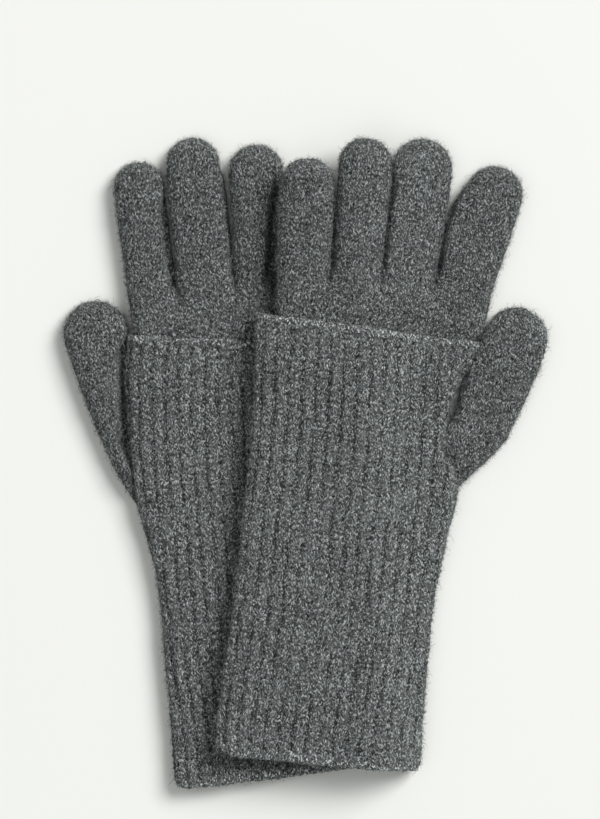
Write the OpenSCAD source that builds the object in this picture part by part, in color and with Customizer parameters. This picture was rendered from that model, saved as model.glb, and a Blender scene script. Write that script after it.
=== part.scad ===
// A pair of long knitted gloves lying flat, one partly over the other.
// Each glove is a plain-knit hand with five separate stalls, under a long ribbed sleeve.
// A glove is drawn flat in its own frame: x across it towards the thumb, y from the cuff
// to the fingertips. The lay then turns it, mirrors it and lifts it over the glove below.
// Row frame: +X right, +Y towards the fingertips, +Z up from the surface, in millimetres.

/* [Knit] */
// Thickness of the ribbed sleeve's wall
rib_wall = 1.9; // [1.5:0.1:2.2]
// Thickness of the plain-knit walls
knit_wall = 1.6; // [1.2:0.1:1.8]
// Height of a finger stall lying flat
stall_h = 11; // [10:0.5:12]
// Height of the sleeve at the knuckles
sleeve_h = 12; // [11.5:0.1:12.2]
// Height of the sleeve at the cuff
cuff_h = 10.8; // [10:0.1:11.5]
// How far the welt and the hem stand proud of the rib
edge_proud = 0.5; // [0.2:0.1:0.5]

/* [Sleeve] */
// Length of the sleeve along its middle
sleeve_len = 192; // [185:1:196]
// Length of the bound-off welt at the knuckles
welt_len = 4; // [3:0.5:6]
// Length of the turned hem at the cuff
hem_len = 5; // [3:0.5:8]
// Where the hand is linked inside the sleeve, up from the cuff
link_y = 174; // [165:1:176]
// Lower end of the slit that the thumb comes out of
slit_y0 = 131; // [130:1:136]
// Upper end of the slit that the thumb comes out of
slit_y1 = 153; // [146:1:154]

/* [Lay] */
// Lean of the left glove from straight, towards its thumb's side, in degrees
left_lean = 5; // [4.5:0.1:5.5]
// Lean of the right glove from straight, towards its thumb's side, in degrees
right_lean = 5.5; // [5:0.1:6]
// Height of the right glove's underside where it lies on the left glove
lift = 12.9; // [12.8:0.1:15]
// Play between pieces that move past each other
play = 0.4; // [0.3:0.05:0.5]

/* [Hidden] */

LEFT = 0;
RIGHT = 1;
knit_grey = [0.34, 0.36, 0.36];
rib_grey = [0.37, 0.39, 0.39];
edge_grey = [0.45, 0.47, 0.47];

// Lay of each glove, as [left, right]: mirror, lean and place of the middle of its cuff
hand_of = [-1, 1];
lean = [left_lean, right_lean];
cuff_at = [[-13, -140], [6.5, -131]];

// Plan of the sleeve: x of each side against y
thumb_side = [[0, 45], [40, 44.3], [65, 44], [85, 45.2], [102, 47.6], [120, 49.8], [140, 50], [160, 49.8], [190, 49], [200, 48.5]];
outer_side = [[0, -45.5], [16, -46.8], [35, -46], [60, -43.8], [85, -43], [140, -42.8], [165, -44], [195, -45.6]];
// Place and slope of the welt's edge across the glove
welt_y = [195.3, 192];
welt_slope = [0.136, -0.0335];
// How far the welt's thumb corner leans out, and where it starts to
corner_out = [-2.5, 3.5];
corner_y = 170;
// How far the thumb's crotch draws the sleeve's side in, its place, and how far along it shows
crease_in = [0, 7.3];
crease_y = 157;
crease_reach = 32;

// Fold line where the stalls begin: outer side, three crotches, thumb side
knuckles = [
    [[-44, 213.5], [-20, 218], [-2.5, 219.3], [23, 217], [47, 214]],
    [[-38.2, 209.5], [-15, 212.5], [7, 216], [31, 214.5], [56, 212]]
];
// Tip of each stall and its width there, from the little finger to the index finger
tips = [
    [[-40.5, 266], [-14, 280], [12.2, 286], [37.5, 277.5]],
    [[-29.8, 263], [-4.4, 274.5], [20.4, 277.2], [57.3, 266.7]]
];
tip_w = [[21, 17.5, 24.6, 23.5], [22.8, 21.4, 24, 24]];
LITTLE = 0;
RING = 1;
MIDDLE = 2;
INDEX = 3;

// Fold line of the thumb, its tip and its width there
thumb_root = [[[51.3, 158], [62.8, 151]], [[44.3, 158], [71, 148.8]]];
thumb_tip = [[65.8, 217], [74, 205.5]];
thumb_w = [27, 26.5];
// Outer edge of the gusset, from the sleeve's side up to the thumb's fold line
gusset_edge = [
    [[51.9, 126], [54.4, 133.5], [58.6, 142.9], [62.6, 150.6]],
    [[52.6, 126], [57.5, 131.8], [65, 139.5], [70.8, 148.3]]
];
gusset_y0 = 126;

// The right glove's underside comes down to the surface beyond the left glove's hidden side
free_side = [[-145, 34.5], [54, 19.5], [75, 22.5], [145, 23.5]];
fall = [[-145, 19], [-60, 30], [60, 40]];

// Number of columns across a wide piece and across a stall, on each of its faces
wide_cols = 22;
stall_cols = 10;
// Columns across the hand, as fractions of the fold line: even, with a few more close to its sides
hand_cols = concat([0, 0.0075, 0.025], [for (k = [1:15]) k / 16], [0.975, 0.9925, 1]);
// Share of the height left where a section's rounded edge begins, squared
edge_share = 0.19;

function mix(a, b, t) = a + (b - a) * t;
function clamp(t) = max(0, min(1, t));
function smooth(t) = let (c = clamp(t)) c * c * (3 - 2 * c);
function mean(ring) = [for (k = [0:2]) [for (p = ring) p[k]] * [for (p = ring) 1] / len(ring)];
function flat(lists) = [for (l = lists) each l];

// Height of the right glove's underside at a point of the row frame
function drape(x, y) = lift * (1 - smooth((x - lookup(y, free_side)) / lookup(y, fall)));

// A point of the glove's own frame, laid in the row frame
function laid(side, p) =
    let (
        c = cos(lean[side]),
        s = sin(lean[side]),
        x = cuff_at[side][0] + hand_of[side] * (c * p[0] + s * p[1]),
        y = cuff_at[side][1] - s * p[0] + c * p[1]
    )
    [x, y, p[2] + (side == RIGHT ? drape(x, y) : 0)];

// Height of a flattened tube's wall at u, from 0 at its edges (u of -1 and 1) to 1
function rise(u, half_w, half_h) =
    let (power = ln(edge_share) / ln(1 - min(0.75, half_h / half_w)))
    min(1, 1.02 * sqrt(max(0, 1 - pow(abs(u), power))));

// Section of a flattened tube over a row of plan points, up over the top and back underneath
function section(side, path, us, z_mid, half_h) =
    let (
        last = len(us) - 1,
        half_w = norm(path[last] - path[0]) / 2,
        z = [for (u = us) half_h * rise(u, half_w, half_h)]
    )
    concat(
        [for (j = [0:last]) laid(side, [path[j][0], path[j][1], z_mid + z[j]])],
        [for (j = [last - 1:-1:1]) laid(side, [path[j][0], path[j][1], z_mid - z[j]])]
    );

function columns(n) = [for (j = [0:n]) -cos(180 * j / n)];

// The same section straight across from plan point a to plan point b
function straight(side, a, b, n, z_mid, half_h) =
    let (us = columns(n))
    section(side, [for (u = us) mix(a, b, (u + 1) / 2)], us, z_mid, half_h);

function quad(a, b, c, d) = [[a, b, c], [a, c, d]];

// Faces of the skin through a stack of rings of n points, numbered from first
function skin(first, rings, n, inwards) =
    flat([
        for (k = [0:rings - 2], i = [0:n - 1])
            let (
                p = first + k * n + i,
                q = first + k * n + (i + 1) % n
            )
            inwards ? quad(p, p + n, q + n, q) : quad(p, q, q + n, p + n)
    ]);

// Faces of a fan that closes the ring starting at first with a point at its middle
function fan(first, n, middle, turned) =
    [
        for (i = [0:n - 1])
            let (
                p = first + i,
                q = first + (i + 1) % n
            )
            turned ? [p, middle, q] : [q, middle, p]
    ];

// Faces between an outer and an inner ring at an open end
function rim(outer, inner, n, turned) =
    flat([
        for (i = [0:n - 1])
            let (j = (i + 1) % n)
            turned ? quad(outer + i, outer + j, inner + j, inner + i)
                   : quad(outer + i, inner + i, inner + j, outer + j)
    ]);

// A knitted tube of a glove: an outer and an inner stack of rings. open_near and open_far say
// which of its ends are open. The left glove is mirrored, so its faces are turned round.
module tube(side, outer, inner, open_near = true, open_far = true) {
    n = len(outer[0]);
    n_out = len(outer);
    n_in = len(inner);
    inner0 = n_out * n;
    far_out = (n_out - 1) * n;
    far_in = inner0 + (n_in - 1) * n;
    pole = (n_out + n_in) * n;
    near_poles = open_near ? [] : [mean(outer[0]), mean(inner[0])];
    far_poles = open_far ? [] : [mean(outer[n_out - 1]), mean(inner[n_in - 1])];
    far_pole = pole + len(near_poles);
    faces = concat(
        skin(0, n_out, n, false),
        skin(inner0, n_in, n, true),
        open_near ? rim(0, inner0, n, false)
                  : concat(fan(0, n, pole, true), fan(inner0, n, pole + 1, false)),
        open_far ? rim(far_out, far_in, n, true)
                 : concat(fan(far_out, n, far_pole, false), fan(far_in, n, far_pole + 1, true))
    );
    polyhedron(
        points = concat(flat(outer), flat(inner), near_poles, far_poles),
        faces = side == LEFT ? faces : [for (f = faces) [f[2], f[1], f[0]]],
        convexity = 6
    );
}

// ---- Sleeve ----

// x of the sleeve's thumb side, drawn in at the crease beside the crotch
function thumb_edge(side, y) =
    let (off = abs(y - crease_y) / crease_reach)
    lookup(y, thumb_side)
        - (off < 1 ? crease_in[side] * pow(cos(90 * off), 2) : 0)
        + corner_out[side] * smooth((y - corner_y) / (sleeve_len - corner_y));

function outer_edge(y) = lookup(y, outer_side);

// y of the welt's edge at x
function welt_edge(side, x) = welt_y[side] + welt_slope[side] * x;

// A point of the sleeve's side at y, with its row turned gradually to the welt's slope
function sleeve_point(side, x, y) = [x, y * welt_edge(side, x) / sleeve_len];

function height_at(y) = mix(cuff_h, sleeve_h, smooth(y / sleeve_len));

// One section of the sleeve at y: grow widens it, inset thins it, and the base stays on the surface
function sleeve_section(side, y, grow, inset) =
    let (
        h = height_at(y) + 2 * grow,
        reach = inset - grow,
        a = sleeve_point(side, outer_edge(y) + reach, y),
        b = sleeve_point(side, thumb_edge(side, y) - reach, y),
        middle = inset > 0 ? height_at(y) / 2 : h / 2
    )
    straight(side, a, b, wide_cols, middle, h / 2 - inset);

module sleeve_tube(side, ys, grow) {
    tube(
        side,
        [for (y = ys) sleeve_section(side, y, grow, 0)],
        [for (y = ys) sleeve_section(side, y, 0, rib_wall)]
    );
}

sleeve_rows = 17;
welt_start = sleeve_len - welt_len;

module rib_sleeve(side) {
    step = (welt_start - hem_len) / (sleeve_rows - 1);
    difference() {
        sleeve_tube(side, [for (k = [0:sleeve_rows - 1]) hem_len + k * step], 0);
        thumb_slit(side);
    }
}

module top_welt(side) {
    sleeve_tube(side, [welt_start, welt_start + welt_len / 2, sleeve_len], edge_proud / 2);
}

module cuff_hem(side) {
    sleeve_tube(side, [0, hem_len / 2, hem_len], edge_proud / 2);
}

// Slit through the sleeve's side and the gusset's, where the thumb passes out
slit_h = 5;
slit_reach = 3;

module thumb_slit(side) {
    near = laid(side, [thumb_edge(side, slit_y0), slit_y0, sleeve_h / 2]);
    far = laid(side, [thumb_edge(side, slit_y1), slit_y1, sleeve_h / 2]);
    run = far - near;
    translate(near)
        rotate([0, 0, atan2(run[1], run[0])])
        translate([0, -slit_reach, -slit_h / 2])
        cube([norm(run), 2 * slit_reach, slit_h]);
}

// ---- Hand ----

// Fold line point at fraction f, set back by back towards the cuff and in by inset at its sides
function knuckle_point(side, f, back, inset) =
    let (
        i = min(3, floor(f * 4 + 0.001)),
        a = knuckles[side][i],
        b = knuckles[side][i + 1],
        along = (b - a) / norm(b - a),
        a1 = i == 0 ? a + along * inset : a,
        b1 = i == 3 ? b - along * inset : b
    )
    mix(a1, b1, f * 4 - i) - [0, back];

// A point of the hand inside the sleeve, at y: near the welt it draws in to the fold line's width
function hand_in_sleeve(side, f, y, inset) =
    let (
        inside = rib_wall + 2 * play + inset,
        drawn = smooth((y - link_y) / (sleeve_len - link_y)) / 2,
        outer = mix(outer_edge(y), knuckles[side][0][0], drawn),
        inner = mix(thumb_edge(side, y), knuckles[side][4][0], drawn),
        a = max(outer_edge(y) + inside, outer + inset),
        b = min(thumb_edge(side, y) - inside, inner - inset),
        x = mix(a, b, f)
    )
    [x, y * welt_edge(side, x) / sleeve_len];

// Rows of the hand: [share of the way from the welt to the fold line, height]
hand_inner_h = sleeve_h - 2 * rib_wall - 1.5 * play;
hand_rows = [[0.12, 8.8], [0.45, 10.6], [0.75, stall_h], [1, stall_h]];
seam_y = link_y + 2;

function hand_path(side, row, inset) =
    [
        for (f = hand_cols)
            let (
                low = hand_in_sleeve(side, f, sleeve_len, inset),
                high = knuckle_point(side, f, play, inset)
            )
            [mix(low[0], high[0], smooth(2 * row)), mix(low[1], high[1], row)]
    ];

function hand_ring(side, path, h, z_mid, inset) =
    section(side, path, [for (f = hand_cols) 2 * f - 1], z_mid, h / 2 - inset);

function hand_skin(side, inset) =
    concat(
        [
            for (y = [seam_y, mix(seam_y, sleeve_len, 0.5), sleeve_len - 0.5])
                hand_ring(
                    side,
                    [for (f = hand_cols) hand_in_sleeve(side, f, y, inset)],
                    hand_inner_h, sleeve_h / 2, inset
                )
        ],
        [
            for (row = hand_rows)
                hand_ring(
                    side, hand_path(side, row[0], inset), row[1],
                    mix(sleeve_h / 2, stall_h / 2, smooth(row[0] * 1.6)), inset
                )
        ]
    );

module hand(side) {
    tube(side, hand_skin(side, 0), hand_skin(side, knit_wall));
}

// Ring of linking stitches that joins the hand's end to the sleeve's inside
module linking_seam(side) {
    tube(
        side,
        [for (y = [link_y, seam_y]) sleeve_section(side, y, 0, rib_wall + play / 2)],
        [
            for (y = [link_y, seam_y])
                sleeve_section(side, y, 0, rib_wall + play + knit_wall)
        ]
    );
}

// ---- Stalls ----

tip_rings = 5;
body_rings = 6;

// Stations along a stall of length l that ends in a round tip of radius r: [distance, share of width]
function stations(l, r) =
    concat(
        [for (k = [0:body_rings - 1]) [(l - r) * k / (body_rings - 1), 1]],
        [
            for (k = [1:tip_rings])
                let (angle = 88 * k / tip_rings)
                [l - r + r * sin(angle), cos(angle)]
        ]
    );

// A stall from its fold line a-b to its tip: inset thins it for the inner skin
function stall_skin(side, a, b, tip, w, inset) =
    let (
        root = (a + b) / 2,
        l = norm(tip - root),
        ahead = (tip - root) / l,
        across = [ahead[1], -ahead[0]],
        fold = (b - a) / norm(b - a),
        root_w = norm(b - a) - 2 * play,
        r = w / 2
    )
    [
        for (s = stations(l, r))
            let (
                t = s[0] / (l - r),
                wide = mix(root_w, w, clamp(t)) / 2 * s[1],
                turned = mix(fold, across, clamp(2 * t)),
                dir = turned / norm(turned),
                half_w = max(0.3, wide - inset),
                centre = root + ahead * (s[0] - inset * clamp((t - 0.5) * 2)),
                full = stall_h / 2 * pow(s[1], 0.7),
                middle = full + 0.2 * (stall_h / 2 - full)
            )
            straight(
                side, centre - dir * half_w, centre + dir * half_w,
                stall_cols, middle, max(0.15, full - inset * mix(1, 0.7, 1 - s[1]))
            )
    ];

module stall(side, a, b, tip, w) {
    tube(
        side,
        stall_skin(side, a, b, tip, w, 0),
        stall_skin(side, a, b, tip, w, knit_wall),
        open_far = false
    );
}

module finger(side, which) {
    stall(side, knuckles[side][which], knuckles[side][which + 1], tips[side][which], tip_w[side][which]);
}

module thumb(side) {
    stall(side, thumb_root[side][0], thumb_root[side][1], thumb_tip[side], thumb_w[side]);
}

// ---- Gusset ----

gusset_rows = 3;

// Section of the gusset at row k, between the sleeve's side and the gusset's outer edge
function gusset_section(side, k, inset) =
    let (
        outer = gusset_edge[side][k],
        y = mix(gusset_y0, thumb_root[side][0][1] - play, k / gusset_rows),
        inner = [thumb_edge(side, y) + play + 0.1, y],
        across = (outer - inner) / norm(outer - inner),
        half_h = stall_h / 2 * mix(0.45, 1, smooth(k / 2)),
        half_in = max(0.15, half_h - inset)
    )
    straight(side, inner + across * inset, outer - across * inset, stall_cols, half_h, half_in);

module thumb_gusset(side) {
    difference() {
        tube(
            side,
            [for (k = [0:gusset_rows]) gusset_section(side, k, 0)],
            [for (k = [1:gusset_rows]) gusset_section(side, k, knit_wall)],
            open_near = false
        );
        thumb_slit(side);
    }
}

// ---- The pair ----

module left_hand() { color(knit_grey) hand(LEFT); }
module left_index_finger() { color(knit_grey) finger(LEFT, INDEX); }
module left_middle_finger() { color(knit_grey) finger(LEFT, MIDDLE); }
module left_ring_finger() { color(knit_grey) finger(LEFT, RING); }
module left_little_finger() { color(knit_grey) finger(LEFT, LITTLE); }
module left_thumb() { color(knit_grey) thumb(LEFT); }
module left_thumb_gusset() { color(knit_grey) thumb_gusset(LEFT); }
module left_rib_sleeve() { color(rib_grey) rib_sleeve(LEFT); }
module left_top_welt() { color(edge_grey) top_welt(LEFT); }
module left_cuff_hem() { color(edge_grey) cuff_hem(LEFT); }
module left_linking_seam() { color(rib_grey) linking_seam(LEFT); }

module right_hand() { color(knit_grey) hand(RIGHT); }
module right_index_finger() { color(knit_grey) finger(RIGHT, INDEX); }
module right_middle_finger() { color(knit_grey) finger(RIGHT, MIDDLE); }
module right_ring_finger() { color(knit_grey) finger(RIGHT, RING); }
module right_little_finger() { color(knit_grey) finger(RIGHT, LITTLE); }
module right_thumb() { color(knit_grey) thumb(RIGHT); }
module right_thumb_gusset() { color(knit_grey) thumb_gusset(RIGHT); }
module right_rib_sleeve() { color(rib_grey) rib_sleeve(RIGHT); }
module right_top_welt() { color(edge_grey) top_welt(RIGHT); }
module right_cuff_hem() { color(edge_grey) cuff_hem(RIGHT); }
module right_linking_seam() { color(rib_grey) linking_seam(RIGHT); }

left_hand();
left_index_finger();
left_middle_finger();
left_ring_finger();
left_little_finger();
left_thumb();
left_thumb_gusset();
left_rib_sleeve();
left_top_welt();
left_cuff_hem();
left_linking_seam();
right_hand();
right_index_finger();
right_middle_finger();
right_ring_finger();
right_little_finger();
right_thumb();
right_thumb_gusset();
right_rib_sleeve();
right_top_welt();
right_cuff_hem();
right_linking_seam();
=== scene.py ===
"""Looks for a pair of long knitted gloves in brushed wool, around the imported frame.

Each glove is drawn flat in its own plan, in millimetres: x across it towards the thumb, y from the
cuff to the fingertips, z up from the surface. lay() mirrors, turns and drapes it into the frame.
"""

import math

import bpy
import numpy as np
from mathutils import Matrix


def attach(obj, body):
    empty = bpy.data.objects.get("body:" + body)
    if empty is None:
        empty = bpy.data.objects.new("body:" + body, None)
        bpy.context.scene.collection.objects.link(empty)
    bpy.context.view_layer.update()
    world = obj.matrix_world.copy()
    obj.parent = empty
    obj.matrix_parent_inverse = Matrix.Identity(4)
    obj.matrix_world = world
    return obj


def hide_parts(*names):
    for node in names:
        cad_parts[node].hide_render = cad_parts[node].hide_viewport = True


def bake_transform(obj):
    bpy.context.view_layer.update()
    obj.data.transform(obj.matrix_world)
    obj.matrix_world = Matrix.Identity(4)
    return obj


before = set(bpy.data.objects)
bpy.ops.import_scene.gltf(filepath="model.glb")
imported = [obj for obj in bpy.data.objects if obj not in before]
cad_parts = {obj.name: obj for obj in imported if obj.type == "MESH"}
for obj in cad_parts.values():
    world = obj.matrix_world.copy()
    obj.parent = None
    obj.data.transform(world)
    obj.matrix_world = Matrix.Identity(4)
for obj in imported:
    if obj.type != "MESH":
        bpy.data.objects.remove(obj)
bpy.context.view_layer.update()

# ---- Plan of the gloves, in millimetres: where there are two values, the left glove's is first ----

LEFT, RIGHT = 0, 1
SIDES = ("left", "right")
DIGITS = ("little", "ring", "middle", "index")

RIB_WALL = 1.9
KNIT_WALL = 1.6
STALL_H = 11
SLEEVE_H = 12
CUFF_H = 10.8
SLEEVE_LEN = 192
WELT_LEN = 4
# Inside the sleeve: where the hand begins to draw in from its sides, the linking seam, and the hand's
# first row
LINK_Y = 174
SEAM_Y = 175
HAND_Y0 = 176

# How each glove lies: which way its thumb points, its lean in degrees, the middle of its cuff
THUMB_WAY = (-1, 1)
LEAN = (5, 5.5)
CUFF_AT = ((-13, -140), (6.5, -131))
# The least height of a glove above the table, and a length too small to matter
TABLE_GAP = 0.02
HAIR = 0.01
# How high the right glove lies on the left one, and, as tables along y, from what x and over what
# width its underside comes down to the table
LIFT = 12.9
FREE_SIDE = ((-145, 34.5), (54, 19.5), (75, 22.5), (145, 23.5))
FALL = ((-145, 19), (-60, 30), (60, 40))

# The sleeve's sides, as tables of y and x
THUMB_SIDE = (
    ((0, 42.4), (36, 42.3), (60, 42), (85, 42.2), (92, 42.9), (104, 45.1), (115, 47.4), (129, 49.7),
     (140, 49.9), (160, 49.8), (190, 49), (200, 48.5)),
    ((0, 44.4), (40, 43.4), (65, 43), (85, 44.3), (102, 46.4), (116, 48.8), (125, 49.4), (140, 49.8),
     (160, 49.8), (190, 49), (200, 48.5)),
)
OUTER_SIDE = ((0, -44.9), (16, -46), (35, -45.2), (60, -43.5), (85, -43), (140, -42.8),
              (165, -44), (195, -45.6))
# The welt's middle and slope, and how far its corner on the thumb side stands out, from what y up
WELT_Y = (195.3, 192)
WELT_SLOPE = (0.136, -0.0335)
CORNER_OUT = (-2.5, 4.3)
CORNER_Y = 170
# The crease that draws the sleeve's thumb side in: its depth, its place and half its length
CREASE_IN = (0, 7.3)
CREASE_Y = 157
CREASE_REACH = 32
# The hem: how far its corners rise (outer side, thumb side), how tightly they turn and how far up the
# sleeve their rise is felt, then how steeply it slopes and how far up that is felt
HEM_Y = (2.8, 3)
HEM_RISE = ((2, 1.8), (2.2, 0.3))
HEM_SHARP = 14
HEM_FADE = 25
HEM_SLOPE = (0.045, 0)
SLOPE_FADE = 90

# The gap between sleeve and hand, and the sides of the hand where it comes out of the welt
PLY_GAP = 0.5
HAND_AT_WELT = ((-43.5, 44.3), (-36.7, 50.6))
# Beyond the welt: how long the hand is, how thick, as a table of shares of that length, and how fast
# its middle then settles; how far its thumb side swells, and by where it has
HAND_BEYOND = 24
HAND_H = ((0, 7.8), (0.12, 8.8), (0.45, 10.6), (0.75, STALL_H), (1, STALL_H))
HAND_HALF_W = 47
HAND_SETTLE = 1.6
HAND_OUT = (0, 3)
HAND_OUT_BY = 0.2
# The share of that length where its lobes begin, and how late they deepen
LOBE_START = 0.55
LOBE_LATE = 1.6

# The fold line's stops between the fingers, from the outer side, and the fingers' tips and widths
KNUCKLES = (
    ((-44, 213.5), (-20, 218), (-2.5, 219.3), (23, 217), (44.6, 214.2)),
    ((-38.2, 209.5), (-15, 212.5), (7, 216), (31, 214.5), (56, 212)),
)
TIPS = (
    ((-40.5, 264.8), (-16.9, 279.3), (12, 285), (36.3, 276.3)),
    ((-29.8, 262.6), (-4.2, 273.6), (21.3, 276.6), (56.3, 267)),
)
TIP_W = ((21, 23.2, 22.6, 21.2), (23, 22.5, 25.2, 24))
# How far each stall swells beyond straight sides: outer side, thumb side
BELLY = (
    ((0.5, 0.5), (0.3, 0), (1, 0.6), (0.1, 0.1)),
    ((0.5, 0.1), (0.2, -0.2), (-0.1, 0.9), (4.4, 0)),
)
BELLY_SKEW = 1.5
BELLY_FULL = 0.8
# A stall's outer side is pressed down where the next finger lies on it: by what share of its height,
# and over what width
PRESSED = ((0, 0.65, 0.55, 0.6), (0, 0.55, 0.55, 0.5))
PRESSED_REACH = ((0, 6.5, 2.2, 4.5), (0, 2.2, 2.2, 2.2))
# A stall's round tip: how far its stations turn, in degrees, how much closer they are, how fast it
# thins, and how much of that lifts it off the table
TIP_TURN = 86
TIP_DENSE = 1.5
TIP_THINS = 0.7
TIP_LIFT = 0.2
LEAST_HALF_W = 0.3
LEAST_HALF_H = 0.15

THUMB_ROOT = (((48.4, 157), (60.6, 151)), ((44.3, 158), (68.8, 149.2)))
THUMB_TIP = ((62.3, 217.3), (73.1, 206.4))
THUMB_W = (28, 27)
THUMB_BELLY = ((1.5, 0.5), (2.6, 0.9))
# The thumb sinks beside the sleeve: by what share of its height, and over what width
THUMB_DIP = (0.7, 0.4)
DIP_REACH = (8.5, 2.2)
GUSSET_DIP_REACH = (8.5, 0)
# The gusset's free edge, how far it is tucked under the sleeve, from what share of its length on and
# over what share it comes out from there, and how thin it starts
GUSSET_EDGE = (
    ((48.6, 126), (52.3, 133.5), (57.1, 142.9), (60.6, 151)),
    ((49.2, 126), (55.1, 132.6), (61.9, 140), (68.8, 149.2)),
)
GUSSET_Y0 = 126
GUSSET_TUCK = 6
GUSSET_FREE = 0.55
GUSSET_EASE = 0.45
GUSSET_THIN = 0.6
GUSSET_ROWS = 52
GUSSET_INNER_ROWS = 12

# ---- Knit, in millimetres ----

# Ribs round the sleeve, the height of their crests, the depth and the sharpness of their grooves
RIBS = 35
RIB_CREST = 0.35
RIB_GROOVE = 1.1
GROOVE_SHARP = 1.6
# Stitches: height of a row, width of a column, how many rows their legs climb, how high they stand
COURSE = 2.7
WALE = 2.6
LEG_CLIMB = 0.4
RIB_STITCH = 0.24
PLAIN_STITCH = 0.1
PLAIN_WALE = 0.16
# The ropes of stitches along the edges, and how thick and how long their sections are as shares of
# that: at least, and how much more in the middle of a stitch
WELT_ROPE = {"half_len": 2.0, "half_thick": 1.25, "stitches": 62, "twist": 0.3}
HEM_ROPE = {"half_len": 2.4, "half_thick": 1.3, "stitches": 56, "twist": 0.15}
SEAM_ROPE = {"half_len": 1.0, "half_thick": 0.7, "stitches": 70, "twist": 0.3}
ROPE_THICK = (0.78, 0.3)
ROPE_LONG = (0.9, 0.12)
# Unevenness, as layers of noise: height, size of the bumps, seed. SLACK is that of cloth that lies
# loose, TUFTS of a brushed surface, RIB_WANDER of the ribs' course, RIB_DEPTH of their grooves
SLACK = ((0.45, 26, 3), (0.3, 11, 4))
TUFTS = ((0.2, 2.3, 5), (0.22, 1.15, 6))
RIB_WANDER = ((0.13, 9, 7),)
RIB_DEPTH = ((0.45, 13, 8),)
WANDER_STRETCH = (0.4, 1, 0.4)
# The meshes: columns to a rib, to a stitch of an edge and round a stall, rows round an edge, the
# length of a row, and how many times as long an inner wall's row is
RIB_COLS = 12
STITCH_COLS = 10
TUBE_COLS = 112
ROPE_ROWS = 16
ROW_STEP = 0.6
INNER_STEP = 5
# Where a stall's bend starts and ends, from its fold line
BEND = (0.3, 18)


def lookup(x, table):
    xs, ys = zip(*table)
    return np.interp(x, xs, ys)


def chain_point(stops, share):
    """The point at a share of a chain of plan points, with each of its stretches counted alike."""
    at = share * (len(stops) - 1)
    return np.array([np.interp(at, range(len(stops)), stops[:, axis]) for axis in (0, 1)])


def mix(a, b, t):
    return a + (b - a) * t


def smooth(t):
    c = np.clip(t, 0, 1)
    return c * c * (3 - 2 * c)


def unit(v):
    return v / np.maximum(np.linalg.norm(v, axis=-1, keepdims=True), 1e-9)


def drape(x, y):
    """Height of the right glove's underside, which comes down beyond the left glove's hidden side."""
    return LIFT * (1 - smooth((x - lookup(y, FREE_SIDE)) / lookup(y, FALL)))


def lay(side, p):
    """Points of a glove's plan, in millimetres, as points of the frame, in metres."""
    c, s = math.cos(math.radians(LEAN[side])), math.sin(math.radians(LEAN[side]))
    x = CUFF_AT[side][0] + THUMB_WAY[side] * (c * p[..., 0] + s * p[..., 1])
    y = CUFF_AT[side][1] - s * p[..., 0] + c * p[..., 1]
    z = np.maximum(p[..., 2], TABLE_GAP)
    if side == RIGHT:
        z = z + drape(x, y)
    return np.stack([x, y, z], axis=-1) / 1000


# ---- Noise ----

# The points along each side of the noise's lattice, and a shift that keeps places on it above 0
LATTICE = 32
LATTICE_SHIFT = 1000


def noise(p, cell, seed):
    """Smooth noise from -1 to 1 at points p, with bumps about cell millimetres apart."""
    table = np.random.default_rng(seed).uniform(-1, 1, (LATTICE,) * 3)
    q = p / cell + LATTICE_SHIFT + seed
    low = np.floor(q).astype(int)
    t = q - low
    t = t * t * (3 - 2 * t)
    total = np.zeros(p.shape[:-1])
    for corner in np.ndindex(2, 2, 2):
        at = (low + corner) % LATTICE
        weight = np.prod(np.where(np.array(corner) == 1, t, 1 - t), axis=-1)
        total += weight * table[at[..., 0], at[..., 1], at[..., 2]]
    return total


def uneven(grid, layers):
    """The sum of some layers of noise."""
    return sum(height * noise(grid, cell, seed) for height, cell, seed in layers)


# ---- Rings and grids: a grid holds rows of points round a flattened tube ----

# A tube's wall rises to nine tenths, the root of 1 - SHOULDER, by as far in from its edge as its height,
# or by SHOULDER_MOST of its half width; its flat middle begins where CROWN times the curve reaches 1
SHOULDER = 0.19
SHOULDER_MOST = 0.75
CROWN = 1.02
OUTLINE_POINTS = 181


def rise(u, half_w, half_h):
    """Height of a flattened tube's wall at u, from 0 at its edges (u of -1 and 1) to 1."""
    power = math.log(SHOULDER) / math.log(1 - min(SHOULDER_MOST, half_h / half_w))
    return np.minimum(1, CROWN * np.sqrt(np.maximum(0, 1 - np.abs(u) ** power)))


def outline(half_w, half_h, count):
    """count points evenly round a flattened tube, from u of -1 over the top, as shares of its sizes."""
    u = -np.cos(np.linspace(0, math.pi, OUTLINE_POINTS))
    z = rise(u, half_w, half_h)
    us = np.concatenate([u, u[-2::-1]])
    zs = np.concatenate([z, -z[-2::-1]])
    run = np.concatenate([[0], np.cumsum(np.hypot(np.diff(us) * half_w, np.diff(zs) * half_h))])
    at = np.arange(count) / count * run[-1]
    return np.interp(at, run, us), np.interp(at, run, zs)


def ring(a, b, middle, half_h, count):
    """A flattened tube's section straight across from plan point a to plan point b."""
    half_w = np.linalg.norm(b - a) / 2
    u, z = outline(half_w, half_h, count)
    plan = a + (b - a) * ((u + 1) / 2)[:, None]
    return np.column_stack([plan, middle + half_h * z])


def sunk(points, dip, reach):
    """A ring pressed down within reach of its first point, by dip as a share of its height."""
    far = np.linalg.norm(points[:, :2] - points[0, :2], axis=1)
    points[:, 2] *= 1 - dip * smooth(2 - 2 * far / max(reach, HAIR))
    return points


def normals(grid):
    """Outward normals of a grid."""
    around = np.roll(grid, -1, 1) - np.roll(grid, 1, 1)
    along = np.gradient(grid, axis=0)
    return unit(np.cross(around, along))


# ---- Relief: how far the knit stands out of its grid ----


def chevrons(grid, phase):
    """Rows of chevron stitches, from -1 to 1, in columns that phase counts."""
    leg = np.abs(2 * (phase % 1) - 1)
    return np.cos(2 * math.pi * (grid[..., 1] / COURSE + LEG_CLIMB * leg))


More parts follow.
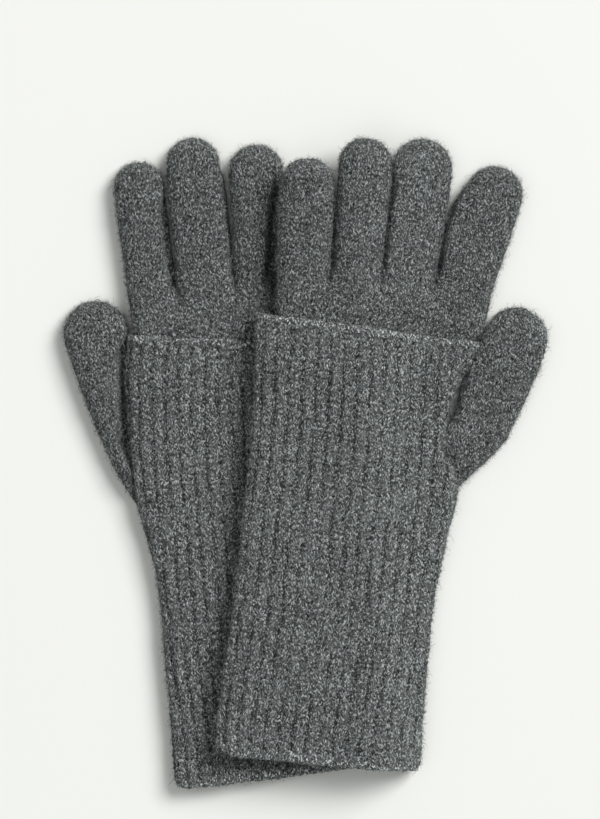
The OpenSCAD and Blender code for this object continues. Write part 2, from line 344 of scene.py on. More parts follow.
def rib_relief(grid):
    """Ribs that run straight down the sleeve from its outer side, each a column of chevron stitches."""
    around = np.linalg.norm(np.diff(grid, axis=1, append=grid[:, :1]), axis=2)
    run = np.cumsum(around, axis=1) - around
    girth = run[:, -1:]
    pitch = np.maximum.accumulate(girth[::-1])[::-1] / RIBS
    phase = np.minimum(run, girth - run) / pitch + uneven(grid * WANDER_STRETCH, RIB_WANDER)
    crest = np.abs(np.sin(math.pi * phase))
    depth = 1 + uneven(grid, RIB_DEPTH)
    rib = RIB_CREST - RIB_GROOVE * depth * (1 - crest) ** GROOVE_SHARP
    return rib + RIB_STITCH * chevrons(grid, phase) * crest


def plain_relief(grid):
    """Plain knit: flat columns of chevron stitches, nearly lost under the nap."""
    phase = grid[..., 0] / WALE
    return PLAIN_WALE * np.abs(np.sin(math.pi * phase)) + PLAIN_STITCH * chevrons(grid, phase)


def raised(grid, relief):
    """A grid moved out along its normals by a relief, its tufts and the cloth's slack."""
    height = relief(grid) + uneven(grid, TUFTS)
    return grid + normals(grid) * (height + uneven(grid, SLACK))[..., None], height


# ---- Meshes ----

# Sets the wool of the two gloves apart, so that one doesn't repeat the other's streaks
FABRIC_SHIFT = 400


def build_mesh(name, points, faces, side):
    """A smooth-shaded mesh from plan points and a list of face arrays, laid in the frame."""
    mesh = bpy.data.meshes.new(name)
    if side == LEFT:
        faces = [f[:, ::-1] for f in faces]
    loops = np.concatenate([f.ravel() for f in faces]).astype(np.int32)
    sizes = np.concatenate([np.full(len(f), f.shape[1]) for f in faces])
    starts = np.concatenate([[0], np.cumsum(sizes)[:-1]]).astype(np.int32)
    mesh.vertices.add(len(points))
    mesh.vertices.foreach_set("co", lay(side, points).astype(np.float32).ravel())
    mesh.loops.add(len(loops))
    mesh.loops.foreach_set("vertex_index", loops)
    mesh.polygons.add(len(starts))
    mesh.polygons.foreach_set("loop_start", starts)
    mesh.update(calc_edges=True)
    mesh.shade_smooth()
    piece = bpy.data.objects.new(name, mesh)
    bpy.context.collection.objects.link(piece)
    return piece


def add_attribute(piece, name, kind, values):
    attribute = piece.data.attributes.new(name, kind, "POINT")
    field = "vector" if kind == "FLOAT_VECTOR" else "value"
    attribute.data.foreach_set(field, np.ascontiguousarray(values, dtype=np.float32).ravel())


def mark_fabric(piece, points, height, side):
    """Gives the wool its place on the glove, which stays with it as it bends, and its relief."""
    add_attribute(piece, "fabric", "FLOAT_VECTOR", points + [0, FABRIC_SHIFT * side, 0])
    add_attribute(piece, "relief", "FLOAT", height)


def skin_faces(first, rows, cols, inwards=False, closed=False):
    """Quads of a grid whose points are numbered from first; if closed, its last row joins its first."""
    r, c = np.meshgrid(np.arange(rows if closed else rows - 1), np.arange(cols), indexing="ij")
    near = first + r * cols
    far = first + (r + 1) % rows * cols
    after = (c + 1) % cols
    quads = np.stack([near + c, near + after, far + after, far + c], axis=-1).reshape(-1, 4)
    return quads[:, ::-1] if inwards else quads


def rim_faces(outer, inner, cols, turned):
    """Quads between an outer and an inner ring at an open end."""
    i = np.arange(cols)
    j = (i + 1) % cols
    quads = np.stack([outer + i, inner + i, inner + j, outer + j], axis=-1)
    return quads[:, ::-1] if turned else quads


def fan_faces(first, cols, pole, turned):
    """Triangles that close a ring with its pole."""
    i = np.arange(cols)
    j = (i + 1) % cols
    triangles = np.stack([first + i, first + j, np.full(cols, pole)], axis=-1)
    return triangles[:, ::-1] if turned else triangles


def knit_piece(name, side, outer, inner, height, far_open=True):
    """A knitted tube: an outer and an inner grid, rimmed at its near end and at an open far end."""
    rows, cols = outer.shape[:2]
    in_rows = inner.shape[0]
    first_in = rows * cols
    far_out = (rows - 1) * cols
    far_in = first_in + (in_rows - 1) * cols
    points = [outer.reshape(-1, 3), inner.reshape(-1, 3)]
    faces = [
        skin_faces(0, rows, cols),
        skin_faces(first_in, in_rows, cols, inwards=True),
        rim_faces(0, first_in, cols, turned=False),
    ]
    heights = [height.ravel(), np.zeros(in_rows * cols)]
    if far_open:
        faces.append(rim_faces(far_out, far_in, cols, turned=True))
    else:
        pole = first_in + in_rows * cols
        points.append(np.array([outer[-1].mean(axis=0), inner[-1].mean(axis=0)]))
        faces.append(fan_faces(far_out, cols, pole, turned=False))
        faces.append(fan_faces(far_in, cols, pole + 1, turned=True))
        heights.append(np.zeros(2))
    points = np.concatenate(points)
    piece = build_mesh(name, points, faces, side)
    mark_fabric(piece, points, np.concatenate(heights), side)
    return piece


# ---- Nap: loose fibres that stand out of the brushed surface ----

# Name, grey and share of each tone of fibre
NAP_TONES = (("nap_dark", 0.007, 0.36), ("nap_grey", 0.12, 0.34), ("nap_pale", 0.58, 0.3))
# The nap's coats: fibres to a square millimetre, length, spread of their angle off the surface in
# radians, radius, segments
COATS = ((0.95, 2.1, 0.62, 0.07, 2), (0.1, 4.6, 0.8, 0.045, 3))
# How dense it is on ribs and on edges, beside plain knit
RIB_NAP = 0.72
EDGE_NAP = 1.6
# Where a surface faces down by so much, this share of the nap is left; along its edges there is more
UNDER_FACING = -0.3
UNDER_SHARE = 0.4
EDGE_MORE = 1.5
# A fibre's least angle off the surface, the spread of its turn at each segment, how it bends over,
# the depth of its root, and the least and the most share of its coat's length and radius
LEAST_PITCH = 0.1
CURL = 0.6
BEND_OVER = 0.55
ROOT_DEPTH = 0.15
LENGTHS = (0.45, 1.35)
RADII = (0.6, 1.3)
# Keeps a fibre's sections from turning where it stands along the normal
OFF_NORMAL = 0.01
rng = np.random.default_rng(11)


def fibre_sites(grid, density):
    """Random places on a grid, density to a square millimetre, with their normals and tangents.

    The nap is rubbed thin beneath, where the glove lies on it, and stands thick along its edges.
    """
    step = np.roll(grid, -1, 1)[:-1] - grid[:-1]
    climb = grid[1:] - grid[:-1]
    area = np.cross(step, climb)
    facing = unit(area)[..., 2]
    weight = np.linalg.norm(area, axis=2) * (1 + EDGE_MORE * (1 - np.abs(facing)))
    weight *= np.where(facing < UNDER_FACING, UNDER_SHARE, 1)
    cell = rng.choice(weight.size, size=int(weight.sum() * density), p=weight.ravel() / weight.sum())
    u, v = rng.random((2, len(cell), 1))
    flat_step, flat_climb = step.reshape(-1, 3)[cell], climb.reshape(-1, 3)[cell]
    at = grid[:-1].reshape(-1, 3)[cell] + flat_step * u + flat_climb * v
    return at, unit(np.cross(flat_step, flat_climb)), unit(flat_climb)


def fibre_paths(at, normal, along, length, stand, segments):
    """The points of each fibre: it leaves the surface, bends over and trails along it."""
    count = len(at)
    side_way = np.cross(normal, along)
    heading = rng.uniform(0, 2 * math.pi, count)
    curl = rng.normal(0, CURL, count)
    pitch = np.abs(rng.normal(0, stand, count)) + LEAST_PITCH
    reach = length * rng.uniform(*LENGTHS, count) / segments
    path = [at - ROOT_DEPTH * normal]
    for k in range(segments):
        way = heading + curl * k
        climb = pitch * (1 - BEND_OVER * k)
        flat = along * np.cos(way)[:, None] + side_way * np.sin(way)[:, None]
        move = flat * np.cos(climb)[:, None] + normal * np.sin(climb)[:, None]
        path.append(path[-1] + move * reach[:, None])
    return np.stack(path, axis=1)


def spindle_corners(end):
    """Triangles of a closed three-sided spindle whose points run from 0 to end."""
    corners = []
    for k, after in ((0, 1), (1, 2), (2, 0)):
        corners.append([0, 1 + after, 1 + k])
        corners.append([end, end - 3 + k, end - 3 + after])
        for low in range(1, end - 3, 3):
            corners.append([low + k, low + after, low + 3 + after])
            corners.append([low + k, low + 3 + after, low + 3 + k])
    return np.array(corners)


def coat(grid, density, length, stand, thick, segments):
    """A coat of fibres over a grid: their points, their triangles and how many each fibre has."""
    at, normal, along = fibre_sites(grid, density)
    path = fibre_paths(at, normal, along, length, stand, segments)
    radius = thick * rng.uniform(*RADII, (len(path), 1))
    points = [path[:, 0]]
    for station in range(1, segments):
        heading = unit(path[:, station + 1] - path[:, station - 1])
        across = unit(np.cross(heading, normal + OFF_NORMAL))
        upright = np.cross(across, heading)
        for angle in (0, 2 * math.pi / 3, 4 * math.pi / 3):
            spoke = across * math.cos(angle) + upright * math.sin(angle)
            points.append(path[:, station] + spoke * radius)
    points.append(path[:, -1])
    corners = spindle_corners(len(points) - 1)
    first = np.arange(len(path))[:, None, None] * len(points)
    return np.stack(points, axis=1).reshape(-1, 3), (first + corners).reshape(-1, 3), len(corners)


def nap_piece(name, side, grid, share=1.0):
    """The nap over a grid, each fibre of one tone."""
    points, triangles, tones = [], [], []
    shares = [tone[2] for tone in NAP_TONES]
    start = 0
    for density, *shape in COATS:
        coat_points, coat_triangles, faces_each = coat(grid, density * share, *shape)
        points.append(coat_points)
        triangles.append(coat_triangles + start)
        start += len(coat_points)
        count = len(coat_triangles) // faces_each
        tones.append(np.repeat(rng.choice(len(shares), size=count, p=shares), faces_each))
    piece = build_mesh(name, np.concatenate(points), [np.concatenate(triangles)], side)
    piece.data.polygons.foreach_set("material_index", np.concatenate(tones).astype(np.int32))
    for material in nap_materials:
        piece.data.materials.append(material)
    return piece


# ---- Materials ----

BLACK_WOOL, DARK_WOOL, MID_WOOL, PALE_WOOL = 0.007, 0.029, 0.145, 0.57
# The part of red and of blue beside green in a grey of the wool
RED_PART, BLUE_PART = 0.93, 0.985
# The dry, dull face of wool, with the sheen of its fibres at a glancing angle
WOOL_FACE = {"Roughness": 0.92, "Specular IOR Level": 0.12, "Sheen Weight": 0.12,
             "Sheen Roughness": 0.55, "Sheen Tint": (0.8, 0.85, 0.86, 1)}
# Streaks of pale and of dark fibre: their layers' angles to the wales, width and length in millimetres,
# which layer counts, and from where to where the mask rises; and how far the layers are moved apart
PALE_STREAKS = ((0.45, -0.5), 0.5, 1.5, "MAXIMUM", 0.56, 0.72)
DARK_STREAKS = ((-0.2, 1.3), 0.55, 1.6, "MINIMUM", 0.47, 0.3)
STREAK_SHIFT = 7
# Patches of tone, large and small: scale and share; and the tones of the dark and of the mid wool
CLOUD_SCALE, CLOUD_GAIN = 0.13, 0.35
TUFT_SCALE, TUFT_GAIN = 0.6, 0.65
TONE_LOW, TONE_HIGH = 0.3, 0.7
FIBRE_BUMP = {"Strength": 0.7, "Distance": 0.0005}
FLOOR_LOW, FLOOR_HIGH = (0.88, 0.885, 0.845, 1), (0.9, 0.905, 0.865, 1)


def set_inputs(node, values):
    for name, value in values.items():
        node.inputs[name].default_value = value


def new_material(name, face):
    """A new material with its shader's own values set: the material, its shader, nodes and links."""
    material = bpy.data.materials.new(name)
    material.use_nodes = True
    shader = material.node_tree.nodes["Principled BSDF"]
    set_inputs(shader, face)
    return material, shader, material.node_tree.nodes, material.node_tree.links


def math_node(nodes, links, operation, a, b):
    node = nodes.new("ShaderNodeMath")
    node.operation = operation
    for socket, value in zip(node.inputs, (a, b)):
        if isinstance(value, (int, float)):
            socket.default_value = value
        else:
            links.new(value, socket)
    return node.outputs[0]


def attribute_node(nodes, name):
    node = nodes.new("ShaderNodeAttribute")
    node.attribute_name = name
    return node


def noise_node(nodes, links, vector, scale, detail):
    node = nodes.new("ShaderNodeTexNoise")
    set_inputs(node, {"Scale": scale, "Detail": detail})
    links.new(vector, node.inputs["Vector"])
    return node.outputs["Fac"]


def ramp_node(nodes, links, value, *stops):
    """A ramp between two colours, each given with its place."""
    ramp = nodes.new("ShaderNodeValToRGB")
    for element, (place, colour) in zip(ramp.color_ramp.elements, stops):
        element.position = place
        element.color = colour
    links.new(value, ramp.inputs["Fac"])
    return ramp.outputs["Color"]


def streaks(nodes, links, vector, angle, width, length):
    """Fine streaks of fibre lying at an angle to the wales."""
    turn = nodes.new("ShaderNodeMapping")
    set_inputs(turn, {"Rotation": (0, 0, angle), "Location": (STREAK_SHIFT * angle, 0, 0)})
    stretch = nodes.new("ShaderNodeMapping")
    set_inputs(stretch, {"Scale": (1 / width, 1 / length, 1)})
    links.new(vector, turn.inputs["Vector"])
    links.new(turn.outputs[0], stretch.inputs["Vector"])
    return noise_node(nodes, links, stretch.outputs[0], scale=1.0, detail=1.0)


def streak_mask(nodes, links, vector, angles, width, length, choice, low, high):
    """A mask of layers of streaks, which rises from 0 to 1 as the chosen one goes from low to high."""
    layers = [streaks(nodes, links, vector, angle, width, length) for angle in angles]
    mask = nodes.new("ShaderNodeMapRange")
    mask.interpolation_type = "SMOOTHSTEP"
    set_inputs(mask, {"From Min": low, "From Max": high})
    links.new(math_node(nodes, links, choice, *layers), mask.inputs["Value"])
    return mask.outputs["Result"]


def wool_grey(level):
    """A grey of the wool, a little cool, as a colour."""
    return (RED_PART * level, level, BLUE_PART * level, 1)


def wool_tone(nodes, links, cloud, tuft, painted_relief_shading):
    """How light the wool is: by its patches, with a painted highlight on the crests of the knit and
    painted shade in its grooves.
    """
    relief = attribute_node(nodes, "relief").outputs["Fac"]
    # Painted light: the knit's relief makes its crests lighter and its grooves darker, standing in for
    # light and shade
    tone = math_node(nodes, links, "MULTIPLY", relief, painted_relief_shading)
    for part, gain in ((cloud, CLOUD_GAIN), (tuft, TUFT_GAIN)):
        tone = math_node(nodes, links, "ADD", tone, math_node(nodes, links, "MULTIPLY", part, gain))
    return tone


def streaked(nodes, links, colour, mask, grey):
    """A colour with a grey laid over it where a mask is 1."""
    blend = nodes.new("ShaderNodeMix")
    blend.data_type = "RGBA"
    blend.inputs["B"].default_value = grey
    links.new(mask, blend.inputs["Factor"])
    links.new(colour, blend.inputs["A"])
    return blend.outputs["Result"]


def wool_material(name, light, painted_relief_shading):
    """Melange wool: dark and light fibres spun together, with a fine bump of the same fibres, a painted
    highlight on the crests of the knit and painted shade in its grooves.
    """
    material, shader, nodes, links = new_material(name, WOOL_FACE)
    where = attribute_node(nodes, "fabric").outputs["Vector"]
    pale = streak_mask(nodes, links, where, *PALE_STREAKS)
    dark = streak_mask(nodes, links, where, *DARK_STREAKS)
    cloud = noise_node(nodes, links, where, CLOUD_SCALE, detail=2.0)
    tuft = noise_node(nodes, links, where, TUFT_SCALE, detail=2.0)
    # The tone carries a painted highlight on the knit's crests and painted shade in its grooves
    tone = wool_tone(nodes, links, cloud, tuft, painted_relief_shading)
    colour = ramp_node(nodes, links, tone, (TONE_LOW, wool_grey(DARK_WOOL * light)),
                       (TONE_HIGH, wool_grey(MID_WOOL * light)))
    colour = streaked(nodes, links, colour, dark, wool_grey(BLACK_WOOL * light))
    colour = streaked(nodes, links, colour, pale, wool_grey(PALE_WOOL * light))
    links.new(colour, shader.inputs["Base Color"])
    fine = math_node(nodes, links, "SUBTRACT", pale, dark)
    bump = nodes.new("ShaderNodeBump")
    set_inputs(bump, FIBRE_BUMP)
    links.new(math_node(nodes, links, "ADD", fine, tuft), bump.inputs["Height"])
    links.new(bump.outputs["Normal"], shader.inputs["Normal"])
    return material


def fibre_material(name, grey):
    """Wool of one grey."""
    return new_material(name, {**WOOL_FACE, "Base Color": wool_grey(grey)})[0]


def floor_material():
    """A pale matt sweep, with the faintest unevenness."""
    face = {"Roughness": 0.8, "Specular IOR Level": 0.1}
    material, shader, nodes, links = new_material("pale_floor", face)
    place = nodes.new("ShaderNodeTexCoord").outputs["Object"]
    patches = noise_node(nodes, links, place, scale=3.0, detail=2.0)
    colour = ramp_node(nodes, links, patches, (0, FLOOR_LOW), (1, FLOOR_HIGH))
    links.new(colour, shader.inputs["Base Color"])
    return material


# The last value of each sets how strongly the crests are painted light and the grooves painted dark
plain_wool = wool_material("plain_wool", light=0.88, painted_relief_shading=0.22)
rib_wool = wool_material("rib_wool", light=1.0, painted_relief_shading=0.28)
edge_wool = wool_material("edge_wool", light=1.45, painted_relief_shading=0.1)
nap_materials = [fibre_material(name, grey) for name, grey, _ in NAP_TONES]

# ---- Sleeve: each maker returns the knit, its nap, the CAD node it replaces, material and slot ----


def thumb_edge(side, y):
    """x of the sleeve's thumb side, drawn in at the crease beside the crotch."""
    off = np.minimum(1, np.abs(y - CREASE_Y) / CREASE_REACH)
    crease = CREASE_IN[side] * np.cos(off * math.pi / 2) ** 2
    corner = CORNER_OUT[side] * smooth((y - CORNER_Y) / (SLEEVE_LEN - CORNER_Y))
    return lookup(y, THUMB_SIDE[side]) - crease + corner


def outer_edge(y):
    """x of the sleeve's outer side."""
    return lookup(y, OUTER_SIDE)


def sleeve_point(side, x, y):
    """A point of the sleeve's side at y, with its row turned gradually to the welt's slope."""
    return np.array([x, y * (WELT_Y[side] + WELT_SLOPE[side] * x) / SLEEVE_LEN])


def sleeve_ring(side, y, inset, count):
    """One section of the sleeve at y, inset millimetres inside its outer face."""
    half_h = mix(CUFF_H, SLEEVE_H, smooth(y / SLEEVE_LEN)) / 2
    a = sleeve_point(side, outer_edge(y) + inset, y)
    b = sleeve_point(side, thumb_edge(side, y) - inset, y)
    points = ring(a, b, half_h, half_h - inset, count)
    span = 2 * (points[:, 0] - a[0]) / (b[0] - a[0]) - 1
    corner_rise = np.where(span < 0, *HEM_RISE[side])
    points[:, 1] += corner_rise * np.abs(span) ** HEM_SHARP * (1 - smooth(y / HEM_FADE))
    points[:, 1] += HEM_SLOPE[side] * (b[0] - points[:, 0]) * (1 - smooth(y / SLOPE_FADE))
    return points


def sleeve_grid(side, ys, inset):
    return np.array([sleeve_ring(side, y, inset, RIBS * RIB_COLS) for y in ys])


def rib_sleeve(side):
    name = f"{SIDES[side]}_rib_sleeve"
    ys = np.arange(HEM_Y[side], SLEEVE_LEN - WELT_LEN / 2 + HAIR, ROW_STEP)
    outer, height = raised(sleeve_grid(side, ys, 0), rib_relief)
    inner = sleeve_grid(side, ys[::INNER_STEP], RIB_WALL)
    piece = knit_piece(f"{name}_knit", side, outer, inner, height)
    nap = nap_piece(f"{name}_nap", side, outer, RIB_NAP)
    return piece, nap, name, rib_wool, "rib_knit"


def edge_grid(side, y, half_len, half_thick, stitches, twist):
    """A rope of stitches round the sleeve at y, swelling at each stitch; its last row is its first."""
    count = stitches * STITCH_COLS
    row = np.arange(count) / count
    path = sleeve_ring(side, y, RIB_WALL / 2, count)
    ahead = np.roll(path, -1, 0) - np.roll(path, 1, 0)
    lengthwise = np.array([0, 1.0, 0])
    outward = unit(np.cross(ahead, lengthwise))
    sections = []
    for angle in np.linspace(0, 2 * math.pi, ROPE_ROWS, endpoint=False):
        bead = np.abs(np.sin(math.pi * (row * stitches + twist * math.sin(angle))))
        thick, long = (least + more * bead for least, more in (ROPE_THICK, ROPE_LONG))
        across = outward * (half_thick * math.cos(angle)) * thick[:, None]
        length = lengthwise * half_len * math.sin(angle) * long[:, None]
        sections.append(path + across + length)
    grid = np.array([*sections, sections[0]])[::-1]
    grid = grid + normals(grid) * (uneven(grid, TUFTS) + uneven(grid, SLACK))[..., None]
    grid[-1] = grid[0]
    return grid


def edge_piece(side, node, y, rope, slot="bound_edge"):
    """A rope of stitches as a piece: the bound-off welt, the turned hem or the linking seam."""
    name = f"{SIDES[side]}_{node}"
    grid = edge_grid(side, y, **rope)
    rows, cols = grid.shape[0] - 1, grid.shape[1]
    points = grid[:-1].reshape(-1, 3)
    piece = build_mesh(f"{name}_stitches", points, [skin_faces(0, rows, cols, closed=True)], side)
    mark_fabric(piece, points, np.zeros(len(points)), side)
    nap = nap_piece(f"{name}_nap", side, grid, EDGE_NAP)
    return piece, nap, name, edge_wool, slot


# ---- Hand ----


def plain_piece(side, name, outer_grid, inner_grid, far_open=True):
    """A piece of plain knit with its nap."""
    outer, height = raised(outer_grid, plain_relief)
    piece = knit_piece(f"{name}_knit", side, outer, inner_grid, height, far_open)
    nap = nap_piece(f"{name}_nap", side, outer)
    return piece, nap, name, plain_wool, "plain_knit"


def knuckle_point(side, f, inset):
    """Fold line point at fraction f, in by inset at its sides."""
    stops = np.array(KNUCKLES[side], float)
    stops[0] += unit(stops[1] - stops[0]) * inset
    stops[-1] -= unit(stops[-1] - stops[-2]) * inset
    return chain_point(stops, f)


def hand_in_sleeve(side, f, y, inset):
    """A point of the hand inside the sleeve: towards the welt it draws in from the sleeve's sides."""
    inside = RIB_WALL + PLY_GAP + inset
    drawn = smooth((y - LINK_Y) / (SLEEVE_LEN - LINK_Y))
    a = outer_edge(y) + inside
    b = thumb_edge(side, y) - inside
    a = mix(a, max(a, HAND_AT_WELT[side][0] + inset), drawn)
    b = mix(b, min(b, HAND_AT_WELT[side][1] - inset), drawn)
    return sleeve_point(side, mix(a, b, f), y)


def lobes(side):
    """Columns round the hand as four lobes, one to a stall: fraction across, height share, and sign."""
    stops = np.array(KNUCKLES[side], float)
    half = TUBE_COLS // 2
    tops, bottoms = [], []
    for k in range(len(DIGITS)):
        half_w = np.linalg.norm(stops[k + 1] - stops[k]) / 2
        u, z = outline(half_w, STALL_H / 2, TUBE_COLS)
        f = (k + (u + 1) / 2) / len(DIGITS)
        tops.append((f[:half], z[:half]))
        bottoms.insert(0, (f[half:], z[half:]))
    f = np.concatenate([part[0] for part in tops + bottoms])
    z = np.concatenate([part[1] for part in tops + bottoms])
    return f, z, np.where(np.arange(len(f)) < len(f) // 2, 1, -1)


def hand_grid(side, inset, step):
    """The hand: flat inside the sleeve, and parted into lobes as it nears the fold line."""
    f, lobe_z, sign = lobes(side)
    rows = []
    for y in np.arange(HAND_Y0, SLEEVE_LEN, step):
        plan = hand_in_sleeve(side, f, y, inset)
        half_h = HAND_H[0][1] / 2
        z = sign * rise(2 * f - 1, HAND_HALF_W, half_h) * (half_h - inset)
        rows.append(np.column_stack([plan[0], plan[1], SLEEVE_H / 2 + z]))
    low = hand_in_sleeve(side, f, SLEEVE_LEN, inset)
    high = knuckle_point(side, f, inset)
    for row in np.linspace(0, 1, max(3, int(HAND_BEYOND / step))):
        swell = HAND_OUT[side] * smooth(row / HAND_OUT_BY) * (1 - row) * smooth(4 * f - 3)
        x = mix(low[0], high[0], row) + swell
        y = mix(low[1], high[1], row)
        half_h = lookup(row, HAND_H) / 2
        wide = sign * rise(2 * f - 1, HAND_HALF_W, half_h)
        cleft = smooth((row - LOBE_START) / (1 - LOBE_START)) ** LOBE_LATE
        z = mix(wide, lobe_z, cleft) * (half_h - inset)
        middle = mix(SLEEVE_H, STALL_H, smooth(row * HAND_SETTLE)) / 2
        rows.append(np.column_stack([x, y, middle + z]))
    return np.array(rows)


def hand(side):
    outer = hand_grid(side, 0, ROW_STEP)
    inner = hand_grid(side, KNIT_WALL, ROW_STEP * INNER_STEP)
    return plain_piece(side, f"{SIDES[side]}_hand", outer, inner)


# ---- Stalls ----


def stall_stations(length, radius, step):
    """Stations along a stall with a round tip: distance from the root and share of the width."""
    straight = np.linspace(0, length - radius, max(4, int((length - radius) / step)))
    angle = np.radians(np.linspace(0, TIP_TURN, max(6, int(radius * TIP_DENSE / step)))[1:])
    distance = np.concatenate([straight, length - radius + radius * np.sin(angle)])
    share = np.concatenate([np.ones(len(straight)), np.cos(angle)])
    return zip(distance, share)


def stall_grid(a, b, tip, width, belly, inset, step, dip=(0, 0), reach=0):
    """A stall from its fold line a-b to its round tip, swelling to either side by its belly.

    Its side at a is pressed down by a dip that soon goes from its first share to its second, within
    a reach that shrinks to nothing towards the tip.
    """
    a, b, tip = np.array(a, float), np.array(b, float), np.array(tip, float)
    root = (a + b) / 2
    length = np.linalg.norm(tip - root)
    ahead = (tip - root) / length
    across = np.array([ahead[1], -ahead[0]])
    fold = unit(b - a)
    root_w = np.linalg.norm(b - a)
    radius = width / 2
    rows = []
    for distance, share in stall_stations(length, radius, step):
        t = distance / (length - radius)
        swell = math.sin(math.pi * min(1, t) ** BELLY_SKEW) ** BELLY_FULL
        wide = mix(root_w, width, min(1, t)) / 2 * share
        way = unit(mix(fold, across, min(1, 2 * t)))
        out_a, out_b = (max(LEAST_HALF_W, wide + extra * swell - inset) for extra in belly)
        centre = root + ahead * (distance - inset * np.clip(2 * t - 1, 0, 1))
        full = STALL_H / 2 * share ** TIP_THINS
        middle = full + TIP_LIFT * (STALL_H / 2 - full)
        half_h = max(LEAST_HALF_H, full - inset)
        section = ring(centre - way * out_a, centre + way * out_b, middle, half_h, TUBE_COLS)
        rows.append(sunk(section, mix(*dip, smooth(8 * t)), reach * (1 - smooth(4 * t - 3))))
    return np.array(rows)


def stall(side, name, shape, **sides):
    """A finger's or the thumb's stall, with the dip and the reach of its pressed side."""
    outer = stall_grid(*shape, 0, ROW_STEP, **sides)
    inner = stall_grid(*shape, KNIT_WALL, ROW_STEP * INNER_STEP, **sides)
    return plain_piece(side, name, outer, inner, far_open=False)


# ---- Gusset ----


def gusset_grid(side, inset, rows):
    """The gusset, from under the sleeve's side out to the thumb's fold line."""
    root = np.array(THUMB_ROOT[side], float)
    edge = np.array(GUSSET_EDGE[side], float)
    grid = []
    for k in np.linspace(0, 1, rows):
        outer = chain_point(edge, k)
        y = mix(GUSSET_Y0, root[0][1], k)
        freed = smooth((k - GUSSET_FREE) / GUSSET_EASE)
        beside = np.array([thumb_edge(side, y) - GUSSET_TUCK * (1 - freed), y])
        inner = mix(beside, root[0], freed)
        half_h = STALL_H / 2 * mix(GUSSET_THIN, 1, smooth(2 * k))
        way = unit(outer - inner)
        section = ring(inner + way * inset, outer - way * inset, half_h,
                       max(LEAST_HALF_H, half_h - inset), TUBE_COLS)
        reach = mix(GUSSET_DIP_REACH[side], DIP_REACH[side], smooth(2 * k - 1))
        grid.append(sunk(section, THUMB_DIP[side], reach))
    return np.array(grid)


def thumb_gusset(side):
    outer = gusset_grid(side, 0, GUSSET_ROWS)
    inner = gusset_grid(side, KNIT_WALL, GUSSET_INNER_ROWS)
    return plain_piece(side, f"{SIDES[side]}_thumb_gusset", outer, inner)


# ---- The pair ----


def finish_piece(made, body, joined=None, bend=None):
    """Gives a piece its material and hides its CAD node; it and its nap ride the glove's body, or, where
    it is joined, have their places baked.
    """
    piece, nap, node, material, slot = made
    piece.data.materials.append(material)
    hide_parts(node)
    for part in (piece, nap):
        if joined:
            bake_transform(part)
        else:
            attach(part, body)


def bend_of(side, a, b, tip):
    """Where a stall starts and stops bending at its root, as two points of the frame."""
    root = (np.array(a, float) + np.array(b, float)) / 2
    ahead = unit(np.array(tip, float) - root)
    ends = [np.append(root + ahead * d, STALL_H / 2) for d in BEND]
    start, end = (lay(side, p) for p in ends)
    end[2] = start[2]
    return tuple(start), tuple(end)


def finger(side, k, glove):
    """The k-th finger from the outer side, its outer side pressed down beyond its root."""
    name = f"{SIDES[side]}_{DIGITS[k]}"
    ends = (KNUCKLES[side][k], KNUCKLES[side][k + 1], TIPS[side][k])
    shape = (*ends, TIP_W[side][k], BELLY[side][k])
    made = stall(side, f"{name}_finger", shape, dip=(0, PRESSED[side][k]), reach=PRESSED_REACH[side][k])
    finish_piece(made, glove, f"{name}_stall", bend_of(side, *ends))


def thumb(side, glove):
    """The thumb, which sinks beside the sleeve from its root on."""
    name = f"{SIDES[side]}_thumb"
    ends = (*THUMB_ROOT[side], THUMB_TIP[side])
    shape = (*ends, THUMB_W[side], THUMB_BELLY[side])
    made = stall(side, name, shape, dip=(THUMB_DIP[side], THUMB_DIP[side]), reach=DIP_REACH[side])
    finish_piece(made, glove, f"{name}_stall", bend_of(side, *ends))


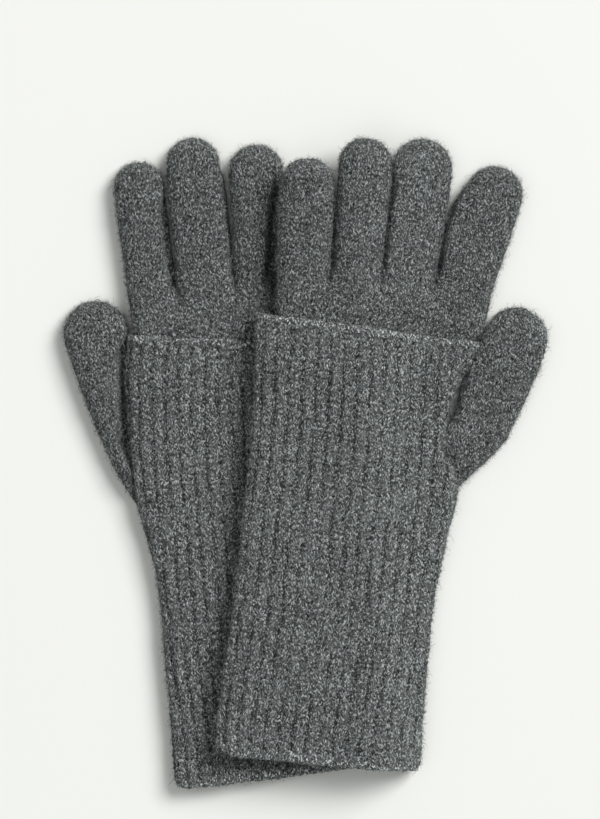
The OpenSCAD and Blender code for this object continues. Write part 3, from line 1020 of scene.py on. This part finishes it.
for side in (LEFT, RIGHT):
    glove = f"{SIDES[side]}_glove"
    finish_piece(rib_sleeve(side), glove)
    finish_piece(edge_piece(side, "top_welt", SLEEVE_LEN - WELT_LEN / 2, WELT_ROPE), glove)
    finish_piece(edge_piece(side, "cuff_hem", HEM_Y[side], HEM_ROPE), glove)
    finish_piece(hand(side), glove)
    finish_piece(thumb_gusset(side), glove)
    finish_piece(edge_piece(side, "linking_seam", SEAM_Y, SEAM_ROPE, "linking_yarn"), glove)
    for k in range(len(DIGITS)):
        finger(side, k, glove)
    thumb(side, glove)

# ---- Floor, light and camera, in metres ----

# Half the floor's side
FLOOR_REACH = 3
WORLD_TINT = (0.97, 1, 1, 1)
WORLD_STRENGTH = 0.27
CAMERA_AT = (-0.0013, 0.0239, 1.6)
FIELD_HIGH = 0.3604
SENSOR = 36


def lay_floor():
    """The flat sweep that the gloves lie on."""
    corners = [(x * FLOOR_REACH, y * FLOOR_REACH, 0) for x, y in ((-1, -1), (1, -1), (1, 1), (-1, 1))]
    mesh = bpy.data.meshes.new("floor")
    mesh.from_pydata(corners, [], [(0, 1, 2, 3)])
    mesh.materials.append(floor_material())
    floor = bpy.data.objects.new("floor", mesh)
    bpy.context.collection.objects.link(floor)


def area_light(name, place, size, energy):
    """A soft square light that faces the gloves."""
    data = bpy.data.lights.new(name, "AREA")
    data.size = size
    data.energy = energy
    light = bpy.data.objects.new(name, data)
    light.location = place
    light.rotation_euler = (-light.location).to_track_quat("-Z", "Y").to_euler()
    bpy.context.collection.objects.link(light)


def light_world():
    """Soft light from all round, and colours shown as they are."""
    world = bpy.data.worlds.new("studio")
    world.use_nodes = True
    set_inputs(world.node_tree.nodes["Background"], {"Color": WORLD_TINT, "Strength": WORLD_STRENGTH})
    bpy.context.scene.world = world
    bpy.context.scene.view_settings.view_transform = "Standard"


def place_camera():
    """A long lens that looks straight down, with FIELD_HIGH of the table from top to bottom."""
    data = bpy.data.cameras.new("camera")
    data.sensor_width = SENSOR
    data.lens = SENSOR * CAMERA_AT[2] / FIELD_HIGH
    camera = bpy.data.objects.new("camera", data)
    camera.location = CAMERA_AT
    bpy.context.collection.objects.link(camera)
    bpy.context.scene.camera = camera


lay_floor()
area_light("key", place=(3.9, 3.1, 4.9), size=3.5, energy=470)
area_light("top", place=(-0.6, -0.4, 1.8), size=1.6, energy=6.5)
light_world()
place_camera()

bpy.context.view_layer.update()
